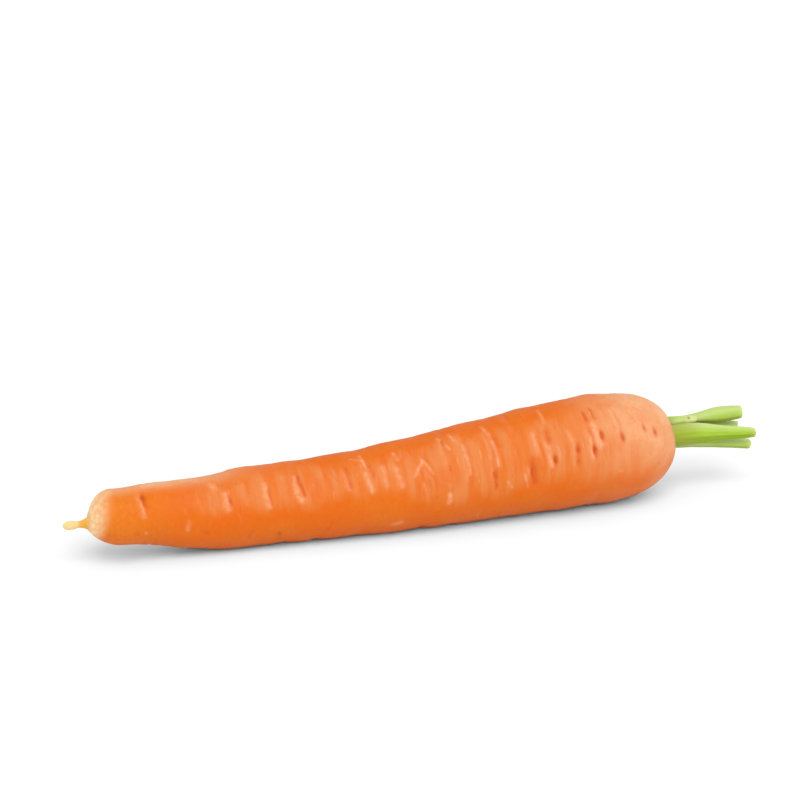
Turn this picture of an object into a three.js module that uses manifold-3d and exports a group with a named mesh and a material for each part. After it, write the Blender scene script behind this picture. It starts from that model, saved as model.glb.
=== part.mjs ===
// A carrot with its leaf stalks trimmed short, lying on its side as it lies on a table.
// Units are millimetres. The root runs along +X from its thin tail to its crown, +Z is up
// and the underside rests on Z = 0. The origin is under the middle of the whole carrot.
//
// Places on the root are given by two numbers: the distance along it from the blunt tip,
// and the turn around it in degrees, 0 on top, 90 facing -Y, 180 underneath, -90 facing +Y.

import * as THREE from 'three';
import { mergeVertices } from 'three/addons/utils/BufferGeometryUtils.js';
import Module from 'manifold-3d';

// ---- Root: main sizes ----
const ROOT_LENGTH = 198;
const TIP_CAP = 9;
const SHOULDER_START = 180;
const SHOULDER_FALL = 1.5;
const SHOULDER_ROUND = 2.7;

// [distance, radius] along the root, between the tip cap and the shoulder
const GIRTH = [
  [9, 8.9], [20, 9.8], [33, 11.1], [47, 12.5], [60, 12.8], [78, 13.3],
  [97, 14.3], [117, 15.5], [137, 16.7], [156, 17.7], [170, 18.1], [180, 17.4],
];
// [distance, height of the underside over the table]: the tip turns up
const UNDERSIDE = [[0, 7.2], [10, 5.6], [20, 4.4], [32, 1.6], [45, 0], [198, 0]];
// [distance, sideways bend of the axis towards +Y]
const SWAY = [[0, 0.3], [50, 0.7], [99, -1.5], [149, -0.4], [198, 0.8]];

const FLAT_TRIM = 0.3;
const CROWN_RISE = 4.1;
const CROWN_RISE_LENGTH = 35;
const CROWN_LEAN = 0.2;
const CROWN_LEAN_LENGTH = 45;
const CROWN_DISH_RADIUS = 8.5;
const CROWN_DISH_DEPTH = 1.2;

// ---- Root: the thin tail left at the tip ----
// [distance, radius]: distances are negative, out beyond the blunt tip
const TAIL = [
  [-8, 0], [-7.6, 0.9], [-6.2, 1.45], [-4.6, 1.4], [-3.2, 1.1], [-1.8, 1.3], [-0.7, 1.75], [0, 2.3],
];
const TAIL_DROP = 2.4;
const TAIL_DROP_BLEND = 9;
const TAIL_FLATTEN = 0.7;

// ---- Root: skin relief ----
const OVAL = 0.012;
const OVAL_TURN = 25;
const CREASE_WIDTH = 1.2;
const CREASE_LIP = 0.3;
const CREASE_LIP_PLACE = 2;
const SCAR_SIZE = 2.1;

// [distance, turn of the middle, half spread in degrees, depth] of each plain crease
const CREASES = [
  [16.5, 48, 30, 0.35], [37.5, 60, 16, 0.12], [43, 58, 20, 0.2], [55.8, 54, 20, 0.25],
  [65.5, 48, 24, 0.38], [71, 55, 14, 0.12], [81.5, 46, 20, 0.3], [88.5, 42, 28, 0.3],
  [93.4, 56, 18, 0.15], [98.4, 46, 26, 0.2], [107.8, 64, 50, 0.24], [114.8, 52, 42, 0.16],
  [121.5, 50, 44, 0.3], [129.5, 54, 46, 0.38], [138.5, 18, 26, 0.2], [142.2, 81, 16, 0.38],
  [149, 50, 30, 0.25], [163.8, 62, 26, 0.4], [174.3, 40, 26, 0.25],
];
// [distance, turn, depth] of the small scars left by side roots, in a row along the root
const SCARS = [
  [16.5, 34, 0.4], [142, 80, 0.4], [150, 72, 0.6], [158, 65, 0.5], [157.8, 78, 0.3],
  [163.8, 69, 0.7], [167.3, 55, 0.65], [174.9, 60, 0.6], [184, 54, 0.3], [187.7, 62, 0.45],
];

// The sides turned away get creases and scars of the same kind by a seeded draw.
const SEED = 20417;
const HIDDEN_CREASES = 28;
const HIDDEN_CREASE_TURNS = [200, 300];
const HIDDEN_CREASE_SPREADS = [14, 36];
const HIDDEN_CREASE_DEPTHS = [0.12, 0.3];
const HIDDEN_ROW_TURNS = [155, 240, 320];
const HIDDEN_ROW_WANDER = 14;
const HIDDEN_SCAR_STEP = 15;
const HIDDEN_SCAR_SHIFT = 10.5;
const HIDDEN_SCAR_DEPTHS = [0.3, 0.65];

// ---- Leaf stalks ----
// All start SOCKET_DEPTH inside the crown, at a turn round their middle and a distance out.
// The stalks' middle lies STALKS_DROP below the crown's middle.
// end = [beyond the crown, across, up] of the cut end's middle from the stalks' middle.
// sections = [share of the length, width, thickness]; wrap = radius the base curls round.
const SOCKET_DEPTH = 4;
const STALKS_DROP = 1.1;
const CLEARANCE = 0.5;
const STALKS = [
  {
    name: 'stalk_front', turn: 90, out: 4.5, end: [28.6, -5, -1.5], wrap: 4.4, slant: 0.35,
    sections: [[0, 8.8, 1.8], [0.3, 7.8, 2.2], [0.55, 5.6, 2.7], [1, 3.3, 2.8]],
  },
  {
    name: 'stalk_low', turn: 188, out: 4.3, end: [29.2, -1, -6.9], wrap: 4.4, slant: -0.15,
    sections: [[0, 4.2, 2.0], [0.5, 4.4, 3.0], [1, 3.8, 3.2]],
  },
  {
    name: 'stalk_back', turn: 264, out: 4.3, end: [27.7, 5.6, -2.7], wrap: 4.4, slant: 0.2,
    sections: [[0, 4.8, 2.0], [0.5, 4.4, 2.8], [1, 3.6, 2.8]],
  },
  {
    name: 'stalk_upper', turn: 336, out: 3.8, end: [27.2, 3, 3.1], wrap: 4.4, slant: 0.1,
    sections: [[0, 4.2, 2.0], [0.35, 4.4, 3.0], [0.62, 4.6, 5.5], [1, 4.4, 4.6]],
  },
  {
    name: 'stalk_inner', turn: 60, out: 0.5, end: [10.5, -1.4, 1.5], wrap: 6, slant: -0.2,
    sections: [[0, 2.0, 1.8], [1, 2.0, 1.8]],
  },
  {
    name: 'leaf_base_old', turn: 20, out: 5.8, end: [8.6, -2, 4.9], wrap: 5, slant: 0.3,
    sections: [[0, 3.4, 1.3], [1, 2.2, 1.2]],
  },
];
// A stalk leaves the crown straight for LEAVE of its length; ARRIVE bends it in to its end.
const LEAVE = 0.45;
const ARRIVE = 0.35;
const RIB_COUNT = 5;
const RIB_HEIGHT = 0.12;
const GROOVE_DEPTH = 0.4;
const GROOVE_WIDTH = 0.45;
const SECTION_FULLNESS = 0.85;
const WRAP_AT_TIP = 0.15;

// ---- Mesh fineness ----
const AROUND = 40;
const BODY_STEP = 3;
const CREASE_STEP = 1.2;
const DEEP_CREASE = 0.19;
const CAP_RINGS = 7;
const SHOULDER_RINGS = 11;
const STALK_AROUND = 20;
const STALK_RINGS = 8;

const rootMaterial = new THREE.MeshStandardMaterial({
  name: 'carrot_skin', color: 0xf07d32, roughness: 0.5, metalness: 0,
});
const stalkMaterial = new THREE.MeshStandardMaterial({
  name: 'green_stalk', color: 0xa8cd50, roughness: 0.5, metalness: 0,
});
const oldLeafMaterial = new THREE.MeshStandardMaterial({
  name: 'old_leaf_base', color: 0xaaa34e, roughness: 0.65, metalness: 0,
});

const radians = THREE.MathUtils.degToRad;

/** A seeded random number generator, so the hidden sides come out the same every time. */
function seededRandom(seed) {
  let state = seed;
  return () => {
    state = (state + 0x6d2b79f5) | 0;
    let mix = Math.imul(state ^ (state >>> 15), 1 | state);
    mix = (mix + Math.imul(mix ^ (mix >>> 7), 61 | mix)) ^ mix;
    return ((mix ^ (mix >>> 14)) >>> 0) / 4294967296;
  };
}

/** The value at a distance on a smooth curve through [distance, value] stations. */
function alongStations(stations, distance) {
  const last = stations.length - 1;
  if (distance <= stations[0][0]) return stations[0][1];
  if (distance >= stations[last][0]) return stations[last][1];
  const slope = (i) => {
    const before = stations[Math.max(i - 1, 0)];
    const after = stations[Math.min(i + 1, last)];
    return (after[1] - before[1]) / (after[0] - before[0]);
  };
  const i = stations.findIndex(([at]) => at > distance) - 1;
  const span = stations[i + 1][0] - stations[i][0];
  const t = (distance - stations[i][0]) / span;
  const t2 = t * t;
  const t3 = t2 * t;
  return (2 * t3 - 3 * t2 + 1) * stations[i][1] + (t3 - 2 * t2 + t) * span * slope(i)
    + (3 * t2 - 2 * t3) * stations[i + 1][1] + (t3 - t2) * span * slope(i + 1);
}

/** A number drawn evenly between two limits. */
function drawBetween(random, [low, high]) {
  return low + (high - low) * random();
}

/** The difference between two turns, from -180 to 180 degrees. */
function turnBetween(turn, middle) {
  return THREE.MathUtils.euclideanModulo(turn - middle + 180, 360) - 180;
}

/** Radius of the root's plain round section at a distance. */
function plainRadius(distance) {
  if (distance <= 0) return alongStations(TAIL, distance);
  if (distance < TIP_CAP) {
    const short = (TIP_CAP - distance) / TIP_CAP;
    return alongStations(GIRTH, TIP_CAP) * Math.sqrt(1 - short * short);
  }
  if (distance <= SHOULDER_START) return alongStations(GIRTH, distance);
  const over = (distance - SHOULDER_START) / (ROOT_LENGTH - SHOULDER_START);
  const left = Math.max(0, 1 - over ** SHOULDER_FALL);
  return alongStations(GIRTH, SHOULDER_START) * left ** (1 / SHOULDER_ROUND);
}

/** Middle of the root's section at a distance. */
function axisPoint(distance) {
  const body = THREE.MathUtils.clamp(distance, TIP_CAP, SHOULDER_START);
  const toCrown = Math.max(0, distance - (ROOT_LENGTH - CROWN_RISE_LENGTH)) / CROWN_RISE_LENGTH;
  const toTail = THREE.MathUtils.clamp(1 - distance / TAIL_DROP_BLEND, 0, 1);
  const height = alongStations(GIRTH, body) + alongStations(UNDERSIDE, distance) - FLAT_TRIM
    + CROWN_RISE * toCrown ** 2 - TAIL_DROP * toTail ** 3;
  return new THREE.Vector3(distance, alongStations(SWAY, distance), height);
}

/** Distances of the mesh rings: close together over the deeper creases and round the ends. */
function ringDistances() {
  const tail = TAIL.slice(1).map(([distance]) => distance);
  const cap = [];
  for (let i = 2; i <= CAP_RINGS; i += 1) {
    cap.push(TIP_CAP * (1 - Math.cos((i / CAP_RINGS) * (Math.PI / 2))));
  }
  const body = [];
  for (const [at, , , depth] of CREASES) {
    if (depth > DEEP_CREASE) body.push(at - CREASE_STEP, at, at + CREASE_STEP);
  }
  for (let at = TIP_CAP + BODY_STEP; at < SHOULDER_START; at += BODY_STEP) {
    if (body.every((other) => Math.abs(other - at) > BODY_STEP / 2)) body.push(at);
  }
  body.sort((a, b) => a - b);
  const shoulder = [];
  for (let i = 0; i < SHOULDER_RINGS; i += 1) {
    const over = Math.sin((i / SHOULDER_RINGS) * (Math.PI / 2)) ** (2 / SHOULDER_FALL);
    shoulder.push(SHOULDER_START + (ROOT_LENGTH - SHOULDER_START) * over);
  }
  return [...tail, ...cap, ...body, ...shoulder];
}

/** Creases for the sides turned away, each on one of the mesh rings. */
function hiddenCreases(random, rings) {
  const onBody = rings.filter((distance) => distance > TIP_CAP && distance < SHOULDER_START);
  const step = onBody.length / HIDDEN_CREASES;
  return Array.from({ length: HIDDEN_CREASES }, (_, i) => [
    onBody[Math.floor((i + random()) * step)],
    drawBetween(random, HIDDEN_CREASE_TURNS),
    drawBetween(random, HIDDEN_CREASE_SPREADS),
    drawBetween(random, HIDDEN_CREASE_DEPTHS),
  ]);
}

/** Side-root scars for the sides turned away, in three more rows along the root. */
function hiddenScars(random) {
  const scars = [];
  for (const rowTurn of HIDDEN_ROW_TURNS) {
    for (let at = HIDDEN_SCAR_STEP * (1 + random()); at < SHOULDER_START; at += HIDDEN_SCAR_STEP) {
      const place = at + HIDDEN_SCAR_SHIFT * (random() - 0.5);
      const turn = rowTurn + HIDDEN_ROW_WANDER * (random() - 0.5);
      scars.push([place, turn, drawBetween(random, HIDDEN_SCAR_DEPTHS)]);
    }
  }
  return scars;
}

/** How far the skin stands out from the plain round section at one place. */
function relief(distance, turn, creases, scars) {
  const radius = plainRadius(distance);
  let height = radius * OVAL * Math.cos(2 * radians(turn - OVAL_TURN));
  for (const [at, middle, spread, depth] of creases) {
    const fade = Math.max(0, 1 - (turnBetween(turn, middle) / spread) ** 2);
    const off = Math.abs(distance - at) / CREASE_WIDTH;
    const lip = CREASE_LIP * Math.exp(-((off - CREASE_LIP_PLACE) ** 2));
    height += depth * Math.sqrt(fade) * (lip - Math.exp(-off * off));
  }
  for (const [at, middle, depth] of scars) {
    const across = radians(turnBetween(turn, middle)) * radius;
    const away = Math.hypot(distance - at, across) / SCAR_SIZE;
    height -= depth * Math.exp(-away * away);
  }
  return height;
}

/** The point of the root's skin at a distance and a turn. */
function skinPoint(distance, turn, creases, scars) {
  const plain = plainRadius(distance);
  const onBody = distance > TIP_CAP && distance < SHOULDER_START;
  const radius = plain + (onBody ? relief(distance, turn, creases, scars) : 0);
  const flatten = distance <= 0 ? TAIL_FLATTEN : 1;
  const towardsCrown = (distance - (ROOT_LENGTH - CROWN_LEAN_LENGTH)) / CROWN_LEAN_LENGTH;
  const lean = THREE.MathUtils.smoothstep(towardsCrown, 0, 1) * CROWN_LEAN;
  const point = axisPoint(distance);
  point.y -= radius * flatten * Math.sin(radians(turn));
  point.z += radius * Math.cos(radians(turn));
  point.x -= lean * radius * Math.cos(radians(turn));
  if (distance > SHOULDER_START) {
    const inDish = Math.max(0, 1 - (plain / CROWN_DISH_RADIUS) ** 2);
    point.x -= CROWN_DISH_DEPTH * inDish * inDish;
  }
  return point;
}

/** A closed skin over rings of points that all have the same count, with a point at each end. */
function skinGeometry(firstPoint, rings, lastPoint) {
  const count = rings[0].length;
  const points = [firstPoint, ...rings.flat(), lastPoint];
  const last = points.length - 1;
  const indices = [];
  for (let k = 0; k < count; k += 1) {
    const next = (k + 1) % count;
    indices.push(0, 1 + next, 1 + k);
    indices.push(last, last - count + k, last - count + next);
    for (let i = 0; i < rings.length - 1; i += 1) {
      const here = 1 + i * count;
      const ahead = here + count;
      indices.push(here + k, here + next, ahead + next, here + k, ahead + next, ahead + k);
    }
  }
  const geometry = new THREE.BufferGeometry().setFromPoints(points);
  geometry.setIndex(indices);
  return geometry;
}

/** The whole root before its flat and its sockets are cut. */
function uncutRootGeometry() {
  const random = seededRandom(SEED);
  const distances = ringDistances();
  const creases = [...CREASES, ...hiddenCreases(random, distances)];
  const scars = [...SCARS, ...hiddenScars(random)];
  const rings = distances.map((distance) => Array.from({ length: AROUND }, (_, k) => (
    skinPoint(distance, (360 * k) / AROUND, creases, scars))));
  const tailEnd = skinPoint(TAIL[0][0], 0, [], []);
  const crownMiddle = skinPoint(ROOT_LENGTH, 0, [], []);
  return skinGeometry(tailEnd, rings, crownMiddle);
}

/**
 * One leaf stalk, in the crown's own frame. Its section wraps round its neighbours at the
 * base and turns into a grooved, ribbed stem; grow makes every side larger, for a socket.
 */
function stalkGeometry(stalk, grow = 0) {
  const turn = radians(stalk.turn);
  const outward = new THREE.Vector3(0, -Math.sin(turn), Math.cos(turn));
  const root = outward.clone().multiplyScalar(stalk.out).setX(-SOCKET_DEPTH);
  const end = new THREE.Vector3(...stalk.end);
  const length = end.x - root.x;
  const leave = root.clone().setX(root.x + length * LEAVE);
  const arrive = end.clone().lerp(leave, ARRIVE);
  const path = new THREE.CubicBezierCurve3(root, leave, arrive, end);
  const widths = stalk.sections.map(([share, width]) => [share, width]);
  const thicknesses = stalk.sections.map(([share, , thickness]) => [share, thickness]);
  const rings = [];
  const middles = [];
  for (let i = 0; i < STALK_RINGS; i += 1) {
    const t = i / (STALK_RINGS - 1);
    const along = path.getTangent(t);
    const out = outward.clone().addScaledVector(along, -outward.dot(along)).normalize();
    const across = new THREE.Vector3().crossVectors(out, along);
    const middle = path.getPoint(t);
    if (i === 0) middle.addScaledVector(along, -grow);
    const shape = THREE.MathUtils.smoothstep(t, 0, 1);
    const halfWidth = alongStations(widths, t) / 2 + grow;
    const halfThick = alongStations(thicknesses, t) / 2 + grow;
    const bow = THREE.MathUtils.lerp(1, WRAP_AT_TIP, shape) / (2 * stalk.wrap);
    middles.push(middle);
    rings.push(Array.from({ length: STALK_AROUND }, (_, k) => {
      const angle = (2 * Math.PI * k) / STALK_AROUND;
      const side = Math.sign(Math.cos(angle)) * Math.abs(Math.cos(angle)) ** SECTION_FULLNESS;
      const face = Math.sin(angle);
      const x = halfWidth * side;
      const rib = face > 0 ? RIB_HEIGHT * Math.cos(Math.PI * RIB_COUNT * side) * face : 0;
      const groove = face < 0 ? GROOVE_DEPTH * shape * Math.exp(-((side / GROOVE_WIDTH) ** 2)) : 0;
      const y = halfThick * face + rib + groove - x * x * bow;
      const slant = i === STALK_RINGS - 1 ? stalk.slant * y : 0;
      const point = middle.clone().addScaledVector(along, slant);
      return point.addScaledVector(across, x).addScaledVector(out, y);
    }));
  }
  return skinGeometry(middles[0], rings, middles.at(-1));
}

const manifold = await Module();
manifold.setup();

/** A geometry as a solid that can be cut. */
function solidFrom(geometry) {
  const bare = geometry.clone();
  bare.deleteAttribute('normal');
  bare.deleteAttribute('uv');
  const merged = mergeVertices(bare);
  return new manifold.Manifold(new manifold.Mesh({
    numProp: 3,
    vertProperties: new Float32Array(merged.attributes.position.array),
    triVerts: new Uint32Array(merged.index.array),
  }));
}

/** A cut solid as a geometry again. */
function geometryFrom(solid) {
  const cut = solid.getMesh();
  const geometry = new THREE.BufferGeometry();
  geometry.setAttribute('position', new THREE.BufferAttribute(cut.vertProperties, 3));
  geometry.setIndex(new THREE.BufferAttribute(cut.triVerts, 1));
  geometry.computeVertexNormals();
  return geometry;
}

/** Everything under the table's surface, to cut the flat that the carrot rests on. */
function belowTableGeometry() {
  const table = new THREE.BoxGeometry(2 * ROOT_LENGTH, ROOT_LENGTH, ROOT_LENGTH);
  return table.translate(ROOT_LENGTH / 2, 0, -ROOT_LENGTH / 2);
}

const stalksMiddle = axisPoint(ROOT_LENGTH).sub(new THREE.Vector3(0, 0, STALKS_DROP));

/** The root, with its flat underneath and a socket in the crown for each stalk. */
function rootGeometry() {
  let solid = solidFrom(uncutRootGeometry()).subtract(solidFrom(belowTableGeometry()));
  for (const stalk of STALKS) {
    const socket = stalkGeometry(stalk, CLEARANCE).translate(...stalksMiddle);
    solid = solid.subtract(solidFrom(socket));
  }
  return geometryFrom(solid);
}

const root = new THREE.Mesh(rootGeometry(), rootMaterial);
root.name = 'root';

const crown = new THREE.Group();
crown.position.copy(stalksMiddle);
for (const stalk of STALKS) {
  const geometry = stalkGeometry(stalk);
  geometry.computeVertexNormals();
  const mesh = new THREE.Mesh(geometry, stalk.name === 'leaf_base_old' ? oldLeafMaterial : stalkMaterial);
  mesh.name = stalk.name;
  crown.add(mesh);
}

const carrot = new THREE.Group();
carrot.add(root, crown);

// The origin goes under the middle of the whole carrot.
const bounds = new THREE.Box3().setFromObject(carrot);
const middle = bounds.getCenter(new THREE.Vector3());
carrot.position.set(-middle.x, -middle.y, -bounds.min.z);

const part = new THREE.Group();
part.add(carrot);

export default part;
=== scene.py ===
"""A carrot with its leaf stalks trimmed short, lying on its side: its skin, its stalks and the stage.

Places on the root are given by two numbers: the distance along it from the blunt tip, and the
turn around it in degrees, 0 on top, 90 facing -Y, 180 underneath, -90 facing +Y.
Tables and constants are in millimetres, and meshes, lights and the camera in metres.
"""

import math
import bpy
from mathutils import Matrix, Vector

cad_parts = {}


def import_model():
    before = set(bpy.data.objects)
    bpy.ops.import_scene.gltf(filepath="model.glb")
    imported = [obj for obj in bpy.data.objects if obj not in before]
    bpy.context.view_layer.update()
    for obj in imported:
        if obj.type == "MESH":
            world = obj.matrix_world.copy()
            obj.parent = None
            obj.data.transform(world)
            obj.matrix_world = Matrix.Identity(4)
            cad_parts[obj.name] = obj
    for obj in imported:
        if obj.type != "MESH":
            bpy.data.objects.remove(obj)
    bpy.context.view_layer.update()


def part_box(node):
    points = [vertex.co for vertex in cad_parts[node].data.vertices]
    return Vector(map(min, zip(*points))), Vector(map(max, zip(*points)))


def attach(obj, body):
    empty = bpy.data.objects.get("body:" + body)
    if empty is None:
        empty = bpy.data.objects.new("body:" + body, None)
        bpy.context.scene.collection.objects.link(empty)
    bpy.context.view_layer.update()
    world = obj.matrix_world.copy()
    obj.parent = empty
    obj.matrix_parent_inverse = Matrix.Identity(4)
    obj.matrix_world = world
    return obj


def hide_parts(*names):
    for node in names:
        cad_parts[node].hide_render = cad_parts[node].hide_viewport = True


bl_info = {
    "name": "Trimmed Carrot",
    "version": (1, 0, 0),
    "blender": (4, 5, 0),
    "location": "View3D > Sidebar > Carrot",
    "description": "Makes the skin and the leaf stalks of a carrot round its fixed frame",
    "category": "Add Mesh",
}

import bpy
import numpy as np
from bpy.props import FloatProperty, FloatVectorProperty, IntProperty, PointerProperty
from mathutils import Vector

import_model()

MM = 0.001
BODY = "root"

# ---- Root: the same main sizes as the solid ----
ROOT_LENGTH = 198
TIP_CAP = 9
SHOULDER_START = 180
SHOULDER_FALL = 1.5
SHOULDER_ROUND = 2.7
# (distance, radius), (distance, height of the underside) and (distance, bend towards +Y)
GIRTH = [
    (9, 8.9), (20, 9.8), (33, 11.1), (47, 12.5), (60, 12.8), (78, 13.3),
    (97, 14.3), (117, 15.5), (137, 16.7), (156, 17.7), (170, 18.1), (180, 17.4),
]
UNDERSIDE = [(0, 7.2), (10, 5.6), (20, 4.4), (32, 1.6), (45, 0), (198, 0)]
SWAY = [(0, 0.3), (50, 0.7), (99, -1.5), (149, -0.4), (198, 0.8)]
FLAT_TRIM = 0.3
CROWN_RISE = 4.1
CROWN_RISE_LENGTH = 35
CROWN_LEAN = 0.2
CROWN_LEAN_LENGTH = 45
CROWN_DISH_RADIUS = 8.5
CROWN_DISH_DEPTH = 1.2
# (distance, radius) of the thin tail, out beyond the blunt tip
TAIL = [
    (-8, 0), (-7.6, 0.9), (-6.2, 1.45), (-4.6, 1.4), (-3.2, 1.1), (-1.8, 1.3), (-0.7, 1.75), (0, 2.3),
]
TAIL_DROP = 2.4
TAIL_DROP_BLEND = 9
TAIL_FLATTEN = 0.7

# ---- Root: skin relief, as on the solid ----
OVAL = 0.012
OVAL_TURN = 25
CREASE_WIDTH = 1.2
SCAR_SIZE = 2.1
# (distance, turn of the middle, half spread in degrees, depth) of each plain crease
CREASES = [
    (16.5, 48, 30, 0.35), (37.5, 60, 16, 0.12), (43, 58, 20, 0.2), (55.8, 54, 20, 0.25),
    (65.5, 48, 24, 0.38), (71, 55, 14, 0.12), (81.5, 46, 20, 0.3), (88.5, 42, 28, 0.3),
    (93.4, 56, 18, 0.15), (98.4, 46, 26, 0.2), (107.8, 64, 50, 0.24), (114.8, 52, 42, 0.16),
    (121.5, 50, 44, 0.3), (129.5, 54, 46, 0.38), (138.5, 18, 26, 0.2), (142.2, 81, 16, 0.38),
    (149, 50, 30, 0.25), (163.8, 62, 26, 0.4), (174.3, 40, 26, 0.25),
]
# (distance, turn, depth) of the small scars left by side roots
SCARS = [
    (16.5, 34, 0.4), (142, 80, 0.4), (150, 72, 0.6), (158, 65, 0.5), (157.8, 78, 0.3),
    (163.8, 69, 0.7), (167.3, 55, 0.65), (174.9, 60, 0.6), (184, 54, 0.3), (187.7, 62, 0.45),
]
SEED = 20417
HIDDEN_CREASES = 28
HIDDEN_CREASE_TURNS = (200, 300)
HIDDEN_CREASE_SPREADS = (14, 36)
HIDDEN_CREASE_DEPTHS = (0.12, 0.3)
HIDDEN_ROW_TURNS = (155, 240, 320)
HIDDEN_ROW_WANDER = 14
HIDDEN_SCAR_STEP = 15
HIDDEN_SCAR_SHIFT = 10.5
HIDDEN_SCAR_DEPTHS = (0.3, 0.65)
# The solid's rings, which its hidden creases lie on
SOLID_BODY_STEP = 3
SOLID_CREASE_STEP = 1.2
SOLID_DEEP_CREASE = 0.19

# ---- Leaf stalks: the same main sizes as the solids ----
SOCKET_DEPTH = 4
STALKS_DROP = 1.1
LEAVE = 0.45
ARRIVE = 0.35
RIB_COUNT = 5
RIB_HEIGHT = 0.12
GROOVE_DEPTH = 0.4
GROOVE_WIDTH = 0.45
SECTION_FULLNESS = 0.85
WRAP_AT_TIP = 0.15
# Turn and out place a stalk's foot, end is the middle of its cut end, wrap the radius that its foot
# curls round, slant the lean of its cut end, and sections are (share of its length, width, thickness).
# Two values aren't the solid's: shade shifts its painted light, making its painted underside shade reach
# higher above 0 and its painted top light reach lower below 0, and fill lets its underside down to meet
# the stalk below.
STALKS = {
    "stalk_front": dict(
        turn=90, out=4.5, end=(28.6, -5, -1.5), wrap=4.4, slant=0.35, shade=0.08,
        sections=[(0, 8.8, 1.8), (0.3, 7.8, 2.2), (0.55, 5.6, 2.7), (1, 3.3, 2.8)],
    ),
    "stalk_low": dict(
        turn=188, out=4.3, end=(29.2, -1, -6.9), wrap=4.4, slant=-0.15, shade=0,
        sections=[(0, 4.2, 2), (0.5, 4.4, 3), (1, 3.8, 3.2)],
    ),
    "stalk_back": dict(
        turn=264, out=4.3, end=(27.7, 5.6, -2.7), wrap=4.4, slant=0.2, shade=-0.6,
        sections=[(0, 4.8, 2), (0.5, 4.4, 2.8), (1, 3.6, 2.8)],
    ),
    "stalk_upper": dict(
        turn=336, out=3.8, end=(27.2, 3, 3.1), wrap=4.4, slant=0.1, shade=0.02,
        sections=[(0, 4.2, 2), (0.35, 4.4, 3), (0.62, 4.6, 5.5), (1, 4.4, 4.6)],
    ),
    "stalk_inner": dict(
        turn=60, out=0.5, end=(10.5, -1.4, 1.5), wrap=6, slant=-0.2, shade=0,
        sections=[(0, 2, 1.8), (1, 2, 1.8)],
    ),
    "leaf_base_old": dict(
        turn=20, out=5.8, end=(8.6, -2, 4.9), wrap=5, slant=0.3, shade=-0.4, fill=0.7,
        sections=[(0, 3.4, 1.3), (1, 2.2, 1.2)],
    ),
}

# ---- Skin: its mesh, and the fine relief that the solid leaves out ----
FINE_SEED = 731
SKIN_AROUND = 168
SKIN_BODY_RINGS = 428
SKIN_CAP_RINGS = 44
SKIN_SHOULDER_RINGS = 60
SKIN_TAIL_RINGS = 26
# The first cap ring's share of the cap's radius
FIRST_RING_SHARE = 0.1
NECK_RADIUS = 2.3
NECK_REACH = 1.3
# Relief fades out at both ends: (distance, length of the edge)
RELIEF_FROM = (3, 6)
RELIEF_TO = (ROOT_LENGTH - 4, 10)
LUMPS_FROM = (2, 12)
LUMPS_TO = (ROOT_LENGTH - 4, 12)
# Waves that creases and edges stray by: (height, shortest and longest length)
CREASE_STRAYS = ((0.3, 25, 60), (0.14, 8, 18))
CREASE_UNEVEN = (0.25, 12, 30)
RIPPLE_STRAY = (0.4, 25, 70)
SHEEN_STRAYS = ((5, 30, 70), (3, 8, 20))
# Across a crease, in crease widths: (place, width, height) of its bulge, its bottom and its rise
CREASE_PROFILE = ((-1.7, 1.2, 0.45), (0, 1, -0.8), (1.3, 1.2, -0.2))
CREASE_END_SHARPNESS = 1.6
CREASE_FULL_COLOUR_DEPTH = 0.5
# (place, sharpness, strength) of the deep colour in a crease, partly painted shade, and of its pale lip
# on the bulge, partly a painted highlight
CREASE_COLOURS = {"groove": (0.1, 1.7, 0.6), "lip": (-1.2, 1.3, 0.38)}
# Creases gather on the four rows of side-root scars: the turn of each row, and its share of them
CREASE_ROWS = (58, 155, 240, 320)
CREASE_ROW_SHARES = (0.42, 0.08, 0.27, 0.23)
CREASE_ROW_SPREAD = 17
CREASE_REACH = 7
FINE_CREASE_WIDTHS = (0.4, 1)
FINE_CREASE_DEPTHS = (0.05, 0.26)
FINE_CREASE_SPREADS = (6, 20)
FINE_CREASE_LEANS = (-0.02, 0.04)
RIPPLE_WIDTHS = (0.5, 1.6)
RIPPLE_SPREADS = (15, 60)
LUMP_COUNT = 36
LUMP_LENGTHS = (6, 30)
LUMP_TURNS = 5
# A scar's pit: its half sizes. Then how much of the scar's depth goes to its dent, its pit, its
# colour and its pale lip
SCAR_ALONG = 0.7
SCAR_AROUND = 1.5
SCAR_DENT = 0.35
SCAR_PIT = 0.8
SCAR_COLOUR = 2.2
SCAR_LIP = 0.6
SCAR_LIP_PLACE = 1.9
SCAR_REACH = 4

# ---- Skin: where its colours lie ----
# From and to are (distance, length of the edge), and a side is (turn of its middle, reach, edge)
# The blunt tip's pale rim: partly its own paler skin, partly a painted grazing highlight, reaching
# further on top
TIP_COLOUR = 0.9
TIP_REACHES = (6.5, 2.5)
TIP_REACH_TURN = -10
# Pale peach over the tip and on the shoulder, strongest on top: partly dry skin, partly painted
# highlight
PEACH_SHEEN_TIP_FROM = (1, 6)
PEACH_SHEEN_TIP_TO = (74, 58)
PEACH_SHEEN_TIP_SIDE = (-19, 54, 36)
PEACH_SHEEN_SHOULDER_FROM = (150, 46)
PEACH_SHEEN_SHOULDER_SIDE = (15, 105, 60)
PEACH_SHEEN_CROWN_FROM = (178, 18)
PEACH_SHEEN_ALL_ROUND = (0.15, 0.4)
YOUNG_TO = (34, 32)
# Painted shade: the underside turns towards the crease colour
PAINTED_UNDERSIDE_SHADE = (180, 78, 45)
STEM_TO = (0.8, 1.6)
TAIL_END_TO = (-2.2, 2)
CROWN_RING_RADIUS = (9.8, 4.5)
# (turn of the middle, half spread, how much wider towards the crown) of each salmon band of painted
# highlight, which stands in for reflected light and lies along a row of scars
SHEEN_ROWS = [(48, 38, 24), (238, 34, 12), (320, 22, 10)]
SHEEN_EDGE = 26
SHEEN_FROM = (18, 25)
SHEEN_WIDER_FROM = (85, 35)
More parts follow.
